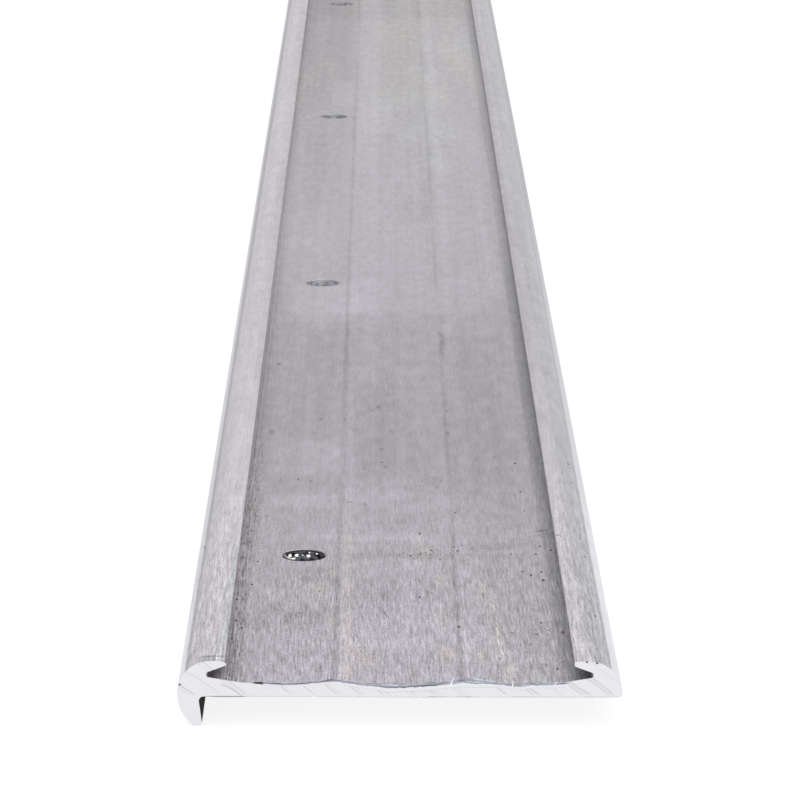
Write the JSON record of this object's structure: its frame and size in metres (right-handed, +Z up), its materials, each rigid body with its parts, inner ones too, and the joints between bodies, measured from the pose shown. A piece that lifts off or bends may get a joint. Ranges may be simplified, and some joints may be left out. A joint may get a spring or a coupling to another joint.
{
  "type": "aluminium extrusion profile",
  "caption": "Flat aluminium trim extrusion with round-backed lipped rims for an insert strip, a hooked leg under one rim and a row of punched screw holes.",
  "frame": {"origin": "middle of the bar's length and width, at the level of the leg's tip, which is the lowest point", "axes": "+Y along the bar, away from the sawn end that the picture shows; +Z up, out of the channel; the leg and the row of holes are on the -X side"},
  "size_m": [0.0444, 1.2192, 0.0068],
  "materials": {
    "mill_aluminium": "mill finish as extruded, dull grey with fine die lines along the bar, handling marks and small pits; bright sawn ends"
  },
  "bodies": {
    "root": {"profile": "mill_aluminium"}
  },
  "joints": []
}
